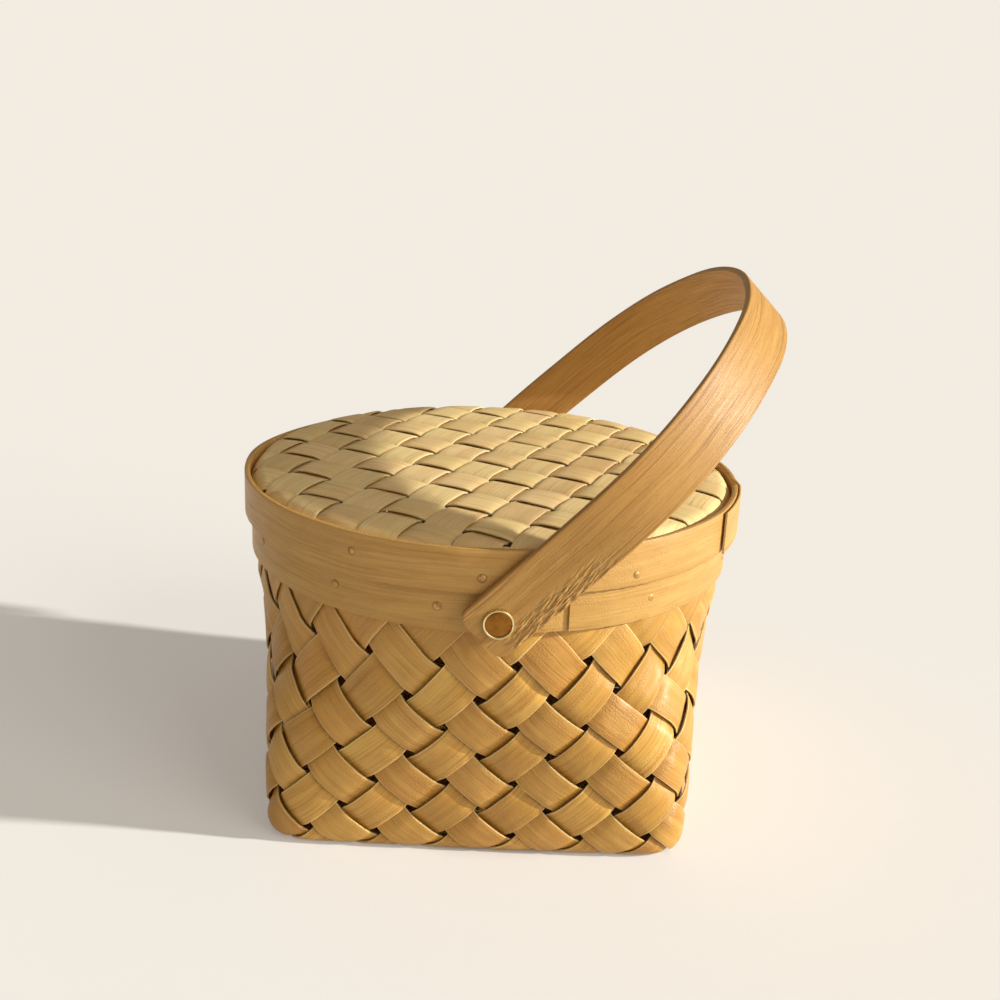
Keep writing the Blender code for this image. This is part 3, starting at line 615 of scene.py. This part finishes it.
def body_splint(family, number, seed):
    """One splint from rim to rim, arched over every splint it crosses."""
    line = 2 * number + 1 - 2 * HALF_SIDE
    reach = 2 * HALF_SIDE - abs(line)
    end = reach + 2 * (ROWS_UP + CELL_SHARE / 2)
    t = np.linspace(-end, end, int(round(2 * end / BODY_STEP)) + 1)
    half_cells = CELL_SHARE * BODY_WIDTH_SHARE * (1 + RNG.uniform(-0.03, 0.02))
    across, spread = strip_edges(t * HALF_CELL, STRIP_COLUMNS)
    drift = RNG.uniform(-0.03, 0.03) + 0.022 * ripple(t, 19.0, RNG.uniform(0, math.tau, 3))
    ww = spread * half_cells + drift[:, None]
    tt = np.broadcast_to(t[:, None], ww.shape)
    a = (line + tt) / 2 + ww / 2
    b = (line - tt) / 2 + ww / 2 if family == "a" else (tt - line) / 2 - ww / 2
    middle = np.zeros(a.shape + (3,))
    normal = np.zeros_like(middle)
    row = np.zeros_like(a)
    for sign in (-1, 1):
        edge_a = (sign * reach + line) // 2
        edge_b = line - edge_a if family == "a" else edge_a - line
        side = facing_side(edge_a, edge_b)
        mask = (tt >= 0) if sign > 0 else (tt < 0)
        middle[mask] = lattice_points(a[mask], b[mask], side)
        normal[mask] = lattice_normals(a[mask], b[mask], side)
        row[mask] = side_coordinates(a[mask], b[mask], side)[1]
    # Cell centres lie at t = 2a - line; the splint is outermost where its b is even (family a) or odd.
    top_at = line if family == "a" else 2 + line
    crest = np.cos(math.pi * (tt - top_at) / 2)
    up = smooth_step(row / WALL_RISE_ROWS)
    near_rim = smooth_step((row - RIM_CALM_ROW) / RIM_CALM_ROWS)
    swell = 1 + 0.09 * ripple(t, 9.0, RNG.uniform(0, math.tau, 3))[:, None]
    high = BASE_ARCH + (WALL_ARCH * swell - BASE_ARCH) * up
    high = high + (RIM_ARCH - high) * near_rim * up
    offset = high * flat_topped(crest, BASE_FLATNESS + (WALL_FLATNESS - BASE_FLATNESS) * up)
    lean = ARCH_LEAN * ripple(t, 5.3, RNG.uniform(0, math.tau, 3))[:, None] * across
    offset = offset + (lean - ARCH_CUP * across ** 2) * up * (1 - 0.5 * near_rim)
    middle = middle + normal * offset[..., None]
    run = np.concatenate([[0.0], np.cumsum(np.linalg.norm(np.diff(middle[:, 3], axis=0), axis=1))])
    middle = turned(middle, WEAVE_TURN)
    normal = normal @ np.array(Matrix.Rotation(WEAVE_TURN, 3, "Z")).T
    piece = strip_piece(f"splint_{family}{number + 1:02d}", middle, normal, BODY_HALF_THICKNESS,
                        across * SPLINT_HALF_WIDTH, run, seed, ("splint", "splint_edge_pale_and_highlight"), "basket")
    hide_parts(f"body_splint_{family}{number + 1:02d}")
    return piece


# Lid weave

def lid_centre(count, family):
    """Where the middle of a lid splint runs, measured across its family from the basket's axis."""
    return LID_PITCH * count + LID_SHIFT[family] * (1 - (count / LID_SHIFT_REACH) ** 2)


LID_COUNTS = np.linspace(-LID_MIDDLE - 1.0, LID_MIDDLE + 1.0, 241)
LID_CENTRES = {family: lid_centre(LID_COUNTS, family) for family in LID_SHIFT}


def lid_directions(family):
    """The way a family of lid splints runs, and the way across it."""
    turn = LID_TURN[family]
    along = np.array([math.cos(turn), math.sin(turn)])
    across = np.array([-along[1], along[0]]) if family == "a" else np.array([along[1], -along[0]])
    return along, across


def lid_splint(family, index, seed):
    """A lid splint that arches over its crossings and turns down inside the hoop."""
    other = "b" if family == "a" else "a"
    count = index - LID_MIDDLE
    centre = lid_centre(count, family) + RNG.uniform(-0.3, 0.3) * MM
    half_width = LID_HALF_WIDTH * (1 + RNG.uniform(-0.03, 0.015))
    along, outward = lid_directions(family)
    crossing = lid_directions(other)[1]
    rows = int(2 * LID_WEAVE_RADIUS / LID_STEP)
    share = np.linspace(-1.0, 1.0, rows + 1)
    across, spread = strip_edges(share * LID_WEAVE_RADIUS, STRIP_COLUMNS)
    v = centre + spread * half_width
    reach = np.sqrt(np.maximum(LID_WEAVE_RADIUS ** 2 - v ** 2, LID_SHORTEST_END ** 2))
    s = share[:, None] * reach
    own_sign = (-1.0) ** count * (1.0 if family == "a" else -1.0)
    swell = RNG.uniform(0, math.tau, 3)
    tip = RNG.uniform(0, math.tau, 3)

    def height(s, v):
        plan = s[..., None] * along + v[..., None] * outward
        counts = np.interp(plan @ crossing, LID_CENTRES[other], LID_COUNTS)
        r = np.hypot(s, v)
        down = np.clip((r - LID_TURN_DOWN_FROM) / (LID_WEAVE_RADIUS - LID_TURN_DOWN_FROM), 0.0, 1.0)
        wave = flat_topped(np.cos(math.pi * counts) * own_sign, LID_FLATNESS)
        arch = LID_ARCH * (1 + 0.12 * ripple(s, 70 * MM, swell)) * (1 - 0.55 * down)
        lean = 0.12 * MM * ripple(s, 41 * MM, tip) * (v - centre) / half_width
        dome = LID_DOME * (1 - (r / LID_WEAVE_RADIUS) ** LID_DOME_POWER) + LID_BACK_RISE * plan[..., 1] / LID_RADIUS
        return LID_WEAVE_HEIGHT + dome + wave * arch + lean - LID_END_DROP * down ** 2

    z = height(s, v)
    d = 0.05 * MM
    rise_s = (height(s + d, v) - height(s - d, v)) / (2 * d)
    rise_v = (height(s, v + d) - height(s, v - d)) / (2 * d)
    plan = s[..., None] * along + v[..., None] * outward
    middle = np.concatenate([plan, z[..., None]], -1)
    lean_plan = -(rise_s[..., None] * along + rise_v[..., None] * outward)
    normal = np.concatenate([lean_plan, np.ones_like(z)[..., None]], -1)
    normal /= np.linalg.norm(normal, axis=-1, keepdims=True)
    piece = strip_piece(f"lid_strip_{family}{index + 1:02d}", turned(middle, 0.0), normal, LID_HALF_THICKNESS,
                        across * LID_HALF_WIDTH, s, seed, ("lid", "lid_edge"), "lid")
    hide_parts(f"lid_splint_{family}{index + 1:02d}")
    return piece


# Hoops

def hoop_profile(angle, lap, ramp, thickness, proud, end_share=0.35, root_share=0.55, gap=0.3 * MM):
    """Outer and inner face of a lapped hoop, measured from its outer radius."""
    share = min(max(angle if angle <= lap + ramp else angle - math.tau, 0.0) / lap, 1.0)
    over = thickness * (end_share + (root_share - end_share) * share)
    under = min(0.0, proud - over - gap)
    if angle <= lap:
        return proud, proud - over
    if angle <= lap + ramp:
        blend = (angle - lap) / ramp
        return proud * (1 - blend), (proud - over) * (1 - blend) - thickness * blend
    if angle >= math.tau:
        return under, -thickness
    blend = max(0.0, (angle - (math.tau - ramp)) / ramp)
    return under * blend, -thickness


def hoop_piece(name, node, radius, thickness, bottom, top, lap_start, lap_length, body, seed,
               proud=0.0, lift_end=0.0, sway=0.3 * MM, back_drop=0.0):
    """A bent strip with eased edges that wander slightly, its outer end over its inner end."""
    lap, ramp = lap_length / radius, HOOP_RAMP / radius
    angles = np.unique(np.concatenate([
        np.linspace(0.0, math.tau + lap, HOOP_STEPS),
        [lap, lap + ramp, math.tau - ramp, math.tau],
    ]))
    low_phases, high_phases, belly_phases = (RNG.uniform(0, math.tau, 4) for _ in range(3))
    rings, grain = [], []
    for angle in angles:
        run = angle * radius
        outer, inner = hoop_profile(angle, lap, ramp, thickness, proud)
        lifted = lift_end * max(0.0, 1 - angle / (lap * 0.7)) ** 2
        belly = 0.1 * MM * ripple(run, 130 * MM, belly_phases)
        outer, inner = outer + lifted + belly, inner + lifted
        frayed = EDGE_FRAY * noise.noise(Vector((run / EDGE_FRAY_LENGTH, seed, 0.0)))
        low = bottom + sway * 0.5 * ripple(run, 210 * MM, low_phases) + frayed
        turn = angle + lap_start
        high = top + sway * 0.35 * ripple(run, 170 * MM, high_phases) - back_drop * smooth_step(math.sin(turn) * 1.5)
        depth = max(outer - inner, 0.3 * MM)
        e = min(HOOP_EASE, depth * 0.32)
        section = [(outer - e, low), (outer - 0.3 * e, low + 0.3 * e)]
        section += [(outer, low + e + (high - low - 2 * e) * share) for share in HOOP_FACE_SHARES]
        section += [(outer - 0.3 * e, high - 0.3 * e), (outer - e, high), (inner + e, high), (inner, high - e),
                    (inner, low + (high - low) * 0.5), (inner, low + e), (inner + e, low)]
        direction = (math.cos(turn), math.sin(turn))
        ring = []
        for offset, height in section:
            r = radius + offset
            ring.append((direction[0] * r + AXIS_X, direction[1] * r, height))
            behind = INNER_FACE_GRAIN if offset < outer - e * 1.5 else 0.0
            grain.append((run + seed * GRAIN_STAGGER, (height - bottom) + seed * GRAIN_BAND + 0.03 + behind))
        rings.append(ring)
    vertices = [v for ring in rings for v in ring]
    faces = sweep(rings)
    # The two cut ends take the pale edge wood, which also paints a highlight on them.
    piece = add_piece(name, vertices, faces, ("hoop", "splint_edge_pale_and_highlight"), body, grain,
                      edge_faces=(len(faces) - 2, len(faces) - 1), smooth=50.0)
    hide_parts(node)
    return piece


# Handle

def handle_path():
    """Points along the handle's middle: across, up, and its outward normal, close together near the ends."""
    path = []
    for i in range(8):
        turn = math.pi / 2 * i / 7
        path.append((-HANDLE_SPAN, -HANDLE_OVERHANG + HANDLE_CORNER * (1 - math.cos(turn)), -1.0, 0.0))
    straight = HANDLE_LEG + HANDLE_OVERHANG - HANDLE_CORNER
    steps = int(straight / HANDLE_STEP)
    for i in range(1, steps):
        path.append((-HANDLE_SPAN, -HANDLE_OVERHANG + HANDLE_CORNER + straight * i / steps, -1.0, 0.0))
    leg_points = len(path)
    for i in range(HANDLE_BEND_STEPS + 1):
        turn = math.pi * i / HANDLE_BEND_STEPS
        across, up = -HANDLE_SPAN * math.cos(turn), HANDLE_CROWN * math.sin(turn)
        normal = Vector((across / HANDLE_SPAN ** 2, up / HANDLE_CROWN ** 2)).normalized()
        path.append((across, HANDLE_LEG + up, normal.x, normal.y))
    return path + [(-a, u, 1.0, 0.0) for a, u, _, _ in reversed(path[:leg_points])]


def torn_height(run, x, amount):
    """Splinters raised from the face: long thin ridges that follow the grain at a slight slant."""
    if amount <= 0:
        return 0.0
    slant = x + TORN_SLANT * run
    ridge = noise.noise(Vector((run / (5.0 * MM), slant / (0.75 * MM), 1.7)))
    chips = noise.noise(Vector((run / (1.9 * MM), slant / (0.5 * MM), 8.3)))
    return amount * (0.8 * MM * max(ridge, -0.25) + 0.3 * MM * chips)


def handle_piece():
    """A planed strip bent over the crown, with rounded ends, eased edges and torn fibres near its ends."""
    path = handle_path()
    lengths = np.concatenate([[0.0], np.cumsum([math.dist(p[:2], q[:2]) for p, q in zip(path, path[1:])])])
    total = lengths[-1]
    tilt = Matrix.Rotation(HANDLE_LEAN, 3, "Y")
    shift = Vector((AXIS_X, 0.0, PIVOT_HEIGHT))
    torn_share = TORN_FROM / HANDLE_WIDTH
    shares = np.concatenate([np.linspace(-1.0, torn_share, HANDLE_CALM_COLUMNS),
                             np.linspace(torn_share, 1.0, HANDLE_TORN_COLUMNS)[1:]])
    back_shares = np.linspace(1.0, -1.0, HANDLE_CALM_COLUMNS)
    ease = HANDLE_EASE
    edge_phases, belly_phases = RNG.uniform(0, math.tau, 4), RNG.uniform(0, math.tau, 4)
    rings, grain, torn = [], [], []
    for (across, up, out_across, out_up), run in zip(path, lengths):
        near_end = min(run, total - run)
        inset = HANDLE_CORNER - (up + HANDLE_OVERHANG)
        half = HANDLE_WIDTH / 2
        if inset > 0:
            half = HANDLE_WIDTH / 2 - HANDLE_CORNER + math.sqrt(max(HANDLE_CORNER ** 2 - inset ** 2, 0.0))
        settled = smooth_step(near_end / (20 * MM))
        wobble = 0.3 * MM * ripple(run, 160 * MM, edge_phases) * settled
        half_depth = HANDLE_THICKNESS / 2 + 0.1 * MM * ripple(run, 120 * MM, belly_phases)
        section = [(s * (half - ease), half_depth) for s in shares]
        section += [(half - ease * 0.3, half_depth - ease * 0.3), (half, half_depth - ease), (half, ease - half_depth),
                    (half - ease * 0.3, ease * 0.3 - half_depth)]
        section += [(s * (half - ease), -half_depth) for s in back_shares]
        section += [(ease * 0.3 - half, ease * 0.3 - half_depth), (-half, ease - half_depth), (-half, half_depth - ease),
                    (ease * 0.3 - half, half_depth - ease * 0.3)]
        # Fibres have torn along one side of each end, less and less towards the crown.
        worn = smooth_step((near_end - 4 * MM) / (7 * MM)) * smooth_step((TORN_LENGTH - near_end) / (30 * MM))
        ring = []
        for x, depth in section:
            amount = worn * smooth_step((x - TORN_FROM) / TORN_FADE) * smooth_step((half - x + 0.8 * MM) / (1.6 * MM))
            raised = torn_height(run, x, amount) if depth > 0 else 0.0
            out = depth + raised
            point = Vector((x + wobble, across + out_across * out, up + out_up * out))
            ring.append(tuple(tilt @ point + shift))
            behind = INNER_FACE_GRAIN if depth < 0 else 0.0
            grain.append((run + HANDLE_GRAIN[0], x + HANDLE_GRAIN[1] + behind))
            torn.append((amount if depth > 0 else 0.0, 0.0))
        rings.append(ring)
    vertices = [v for ring in rings for v in ring]
    piece = add_piece("bent_handle", vertices, sweep(rings), ("handle",), "handle",
                      grain, torn, smooth=45.0)
    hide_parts("handle")
    return piece


# Small metal

def turned_piece(name, profile, centre, axis, materials, body, segments=48, rim_from=None):
    """A profile of (radius, height) spun about an axis; faces outside rim_from take the second material."""
    spin = Vector((0.0, 0.0, 1.0)).rotation_difference(Vector(axis)).to_matrix()
    rings, faces, rim_faces = [], [], []
    vertices = []
    for radius, height in profile:
        start = len(vertices)
        count = 1 if radius == 0 else segments
        for i in range(count):
            turn = math.tau * i / segments
            point = Vector((radius * math.cos(turn), radius * math.sin(turn), height))
            vertices.append(tuple(spin @ point + Vector(centre)))
        rings.append((start, count))
    for (s0, c0), (s1, c1), (inner, _), (outer, _) in zip(rings, rings[1:], profile, profile[1:]):
        for k in range(segments):
            n = (k + 1) % segments
            quad = (s0 + k % c0, s0 + n % c0, s1 + n % c1, s1 + k % c1)
            if rim_from is not None and (inner + outer) / 2 > rim_from:
                rim_faces.append(len(faces))
            faces.append(tuple(dict.fromkeys(quad)))
    grain = [(v[0] + v[1], v[2]) for v in vertices]
    return add_piece(name, vertices, faces, materials, body, grain, edge_faces=rim_faces, smooth=32.0)


def rivet_profile():
    """A domed head with a raised rim, and its shank through to the inner burr."""
    dome = []
    for i in range(13):
        turn = math.pi / 2 * i / 12
        dome.append((RIVET_DOME * math.sin(turn), (0.5 + 0.75 * math.cos(turn)) * MM))
    rim = [(4.75, 0.95), (4.95, 1.1), (5.15, 1.13), (5.35, 1.03), (5.5, 0.7), (5.5, 0.0), (2.0, 0.0)]
    shank = [(2.0, -14.3), (2.9, -14.4), (2.7, -15.0), (1.8, -15.4), (0.0, -15.5)]
    return dome + [(radius * MM, height * MM) for radius, height in rim + shank]


def make_rivets():
    seat = HANDLE_SPAN + HANDLE_THICKNESS / 2 + 0.1 * MM
    for place, sign in (("front", -1), ("back", 1)):
        piece = turned_piece(f"rivet_{place}", rivet_profile(), (AXIS_X, sign * seat, PIVOT_HEIGHT), (0, sign, 0),
                             ("rivet_dome", "rivet_rim"), "basket", rim_from=RIVET_DOME)
        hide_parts(f"pivot_rivet_{place}")


def brad_profile(radius):
    """A nearly flush head in the slightly larger hole that it has pressed into the wood."""
    head = [(0.0, 0.34), (0.45, 0.32), (0.8, 0.24), (1.0, 0.05)]
    hole = [(1.02, 0.015), (1.2, 0.02), (1.24, -0.3)]
    return [(r * radius, h * MM) for r, h in head + hole] + [(0.0, -0.3 * MM)]


def make_brads():
    """Small heads that pin the hoops where the photograph shows them, and go on round the back at that spacing."""
    hoops = (("lid", LID_RADIUS, LID_BRADS, LID_BRADS_BEHIND, LID_BRAD_HEIGHT),
             ("rim", RIM_RADIUS, RIM_BRADS, RIM_BRADS_BEHIND, RIM_BRAD_HEIGHT))
    for kind, radius, seen, behind, level in hoops:
        places = list(seen) + [(turn + RNG.uniform(-3, 3), level + RNG.uniform(-1.2, 1.2) * MM) for turn in behind]
        for i, (degrees, height) in enumerate(places):
            turn = math.radians(degrees)
            out = Vector((math.cos(turn), math.sin(turn), 0.0))
            place = out * (radius + BRAD_STAND) + Vector((AXIS_X, 0.0, height))
            head = BRAD_RADIUS * RNG.uniform(0.93, 1.07)
            # Each head's sunk ring takes brad_shadow, a painted shade in the hole round the head.
            turned_piece(f"brad_{kind}_{i + 1:02d}", brad_profile(head), place, out, ("brad", "brad_shadow"),
                         "lid" if kind == "lid" else "basket", segments=20, rim_from=head)


def carry_over():
    """CAD nodes whose shape is right get a finer material."""
    for name in ("pivot_washer_front", "pivot_washer_back", "pivot_burr_front", "pivot_burr_back"):
        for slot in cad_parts[name].material_slots:
            slot.material = MATERIALS["brass"]


def build_basket():
    seed = 1
    for family in ("a", "b"):
        for number in range(2 * HALF_SIDE):
            body_splint(family, number, seed)
            seed += 1
    for family in ("a", "b"):
        for index in range(LID_SPLINTS):
            lid_splint(family, index, seed)
            seed += 1
    hoop_piece("rim_outer", "rim_band_outer", RIM_RADIUS, RIM_THICKNESS, RIM_BOTTOM, RIM_TOP, RIM_LAP_START,
               RIM_LAP_LENGTH, "basket", seed, proud=RIM_LAP_PROUD)
    hoop_piece("rim_inner", "rim_band_inner", RIM_INNER_RADIUS, RIM_INNER_THICKNESS, RIM_BOTTOM, RIM_TOP,
               RIM_LAP_START + math.pi, RIM_LAP_LENGTH, "basket", seed + 1)
    hoop_piece("lid_outer", "lid_hoop_outer", LID_RADIUS, LID_HOOP_THICKNESS, LID_BOTTOM, LID_TOP, LID_LAP_START,
               LID_LAP_LENGTH, "lid", seed + 2, proud=LID_LAP_PROUD, lift_end=LID_LAP_LIFT, back_drop=LID_BACK_DROP)
    hoop_piece("lid_inner", "lid_hoop_inner", LID_RING_RADIUS, LID_RING_THICKNESS, LID_RING_BOTTOM, LID_RING_TOP,
               LID_LAP_START + math.pi, LID_LAP_LENGTH, "lid", seed + 3)
    handle_piece()
    make_rivets()
    make_brads()
    carry_over()


# Stage, light and camera

def make_stage():
    """A plain pale floor, and a world that looks as pale as the far floor so that no horizon shows."""
    mesh = bpy.data.meshes.new("floor")
    size = FLOOR_REACH
    mesh.from_pydata([(-size, -size, 0), (size, -size, 0), (size, size, 0), (-size, size, 0)], [], [(0, 1, 2, 3)])
    floor = bpy.data.objects.new("floor", mesh)
    bpy.context.collection.objects.link(floor)
    g = Graph("floor_plain")
    g.shader.inputs["Base Color"].default_value = (*FLOOR_COLOUR, 1.0)
    g.shader.inputs["Roughness"].default_value = 0.9
    g.shader.inputs["Specular IOR Level"].default_value = 0.0
    g.shader.inputs["Emission Color"].default_value = (*FLOOR_COLOUR, 1.0)
    rays = g.node("ShaderNodeLightPath").outputs
    seen = g.math("MAXIMUM", rays["Is Camera Ray"], rays["Is Glossy Ray"])
    seen = g.math("MAXIMUM", seen, rays["Is Transmission Ray"])
    # Under the basket the floor gives nothing, so that the holes of the weave stay dark.
    place = g.node("ShaderNodeTexCoord").outputs["Object"]
    away = g.node("ShaderNodeVectorMath", {0: place}, operation="LENGTH").outputs["Value"]
    seen = g.math("MULTIPLY", seen, g.band(away, FOOT_HALF_WIDTH * 0.9, FOOT_HALF_WIDTH * 1.1))
    g.feed(g.shader.inputs["Emission Strength"], g.math("MULTIPLY", seen, FLOOR_GLOW))
    mesh.materials.append(g.material)
    world = bpy.data.worlds.new("studio")
    world.use_nodes = True
    tree = world.node_tree
    lit = tree.nodes["Background"]
    lit.inputs["Color"].default_value = (*WORLD_COLOUR, 1.0)
    lit.inputs["Strength"].default_value = WORLD_LEVEL
    seen = tree.nodes.new("ShaderNodeBackground")
    key = KEY_LEVEL * math.sin(KEY_ELEVATION)
    fill = FILL_LEVEL * math.sin(FILL_ELEVATION)
    colours = zip(FLOOR_COLOUR, WORLD_COLOUR, KEY_COLOUR, FILL_COLOUR)
    far_floor = [f * (w * WORLD_LEVEL + k * key + a * fill + FLOOR_GLOW) for f, w, k, a in colours]
    seen.inputs["Color"].default_value = (*far_floor, 1.0)
    rays = tree.nodes.new("ShaderNodeLightPath")
    choose = tree.nodes.new("ShaderNodeMixShader")
    tree.links.new(rays.outputs["Is Camera Ray"], choose.inputs[0])
    tree.links.new(lit.outputs[0], choose.inputs[1])
    tree.links.new(seen.outputs[0], choose.inputs[2])
    tree.links.new(choose.outputs[0], tree.nodes["World Output"].inputs["Surface"])
    bpy.context.scene.world = world
    bpy.context.scene.view_settings.view_transform = "Standard"


def add_light(name, azimuth, elevation, width, level, colour):
    """A distant lamp of the given angular width, its azimuth counted from the front towards the right.

    The level is the share of full light that it gives to a surface facing it.
    """
    data = bpy.data.lights.new(name, "SUN")
    data.energy = level * math.pi
    data.angle = width
    data.color = colour
    item = bpy.data.objects.new(name, data)
    bpy.context.collection.objects.link(item)
    flat = math.cos(elevation)
    way = Vector((math.sin(azimuth) * flat, -math.cos(azimuth) * flat, math.sin(elevation)))
    item.location = way
    item.rotation_euler = way.to_track_quat("Z", "Y").to_euler()


def make_lights():
    """A low key from the right, as in the photograph, and a broad soft fill beside it."""
    add_light("key", KEY_AZIMUTH, KEY_ELEVATION, KEY_WIDTH, KEY_LEVEL, KEY_COLOUR)
    add_light("fill", FILL_AZIMUTH, FILL_ELEVATION, FILL_WIDTH, FILL_LEVEL, FILL_COLOUR)


def make_camera():
    """The photograph's view: from the front, a little to the left, 18 degrees above the horizon."""
    azimuth, elevation, roll = math.radians(3.0), math.radians(18.1), math.radians(2.72)
    distance, right_shift, height = 539.0 * MM, 3.9 * MM, 115.2 * MM
    forward = Vector((math.sin(azimuth) * math.cos(elevation), math.cos(azimuth) * math.cos(elevation), -math.sin(elevation)))
    right = Vector((math.cos(azimuth), -math.sin(azimuth), 0.0))
    up = right.cross(forward)
    target = Vector((AXIS_X, 0.0, height)) + right * right_shift
    rolled_right = right * math.cos(roll) + up * math.sin(roll)
    rolled_up = up * math.cos(roll) - right * math.sin(roll)
    data = bpy.data.cameras.new("photo_camera")
    data.sensor_width = 36.0
    data.lens = 36.0 * 1300.0 / 1000.0
    data.clip_start = 0.01
    camera = bpy.data.objects.new("photo_camera", data)
    bpy.context.collection.objects.link(camera)
    place = target - forward * distance
    basis = Matrix((rolled_right, rolled_up, -forward)).transposed().to_4x4()
    camera.matrix_world = Matrix.Translation(place) @ basis
    bpy.context.scene.camera = camera


build_basket()
make_stage()
make_lights()
make_camera()
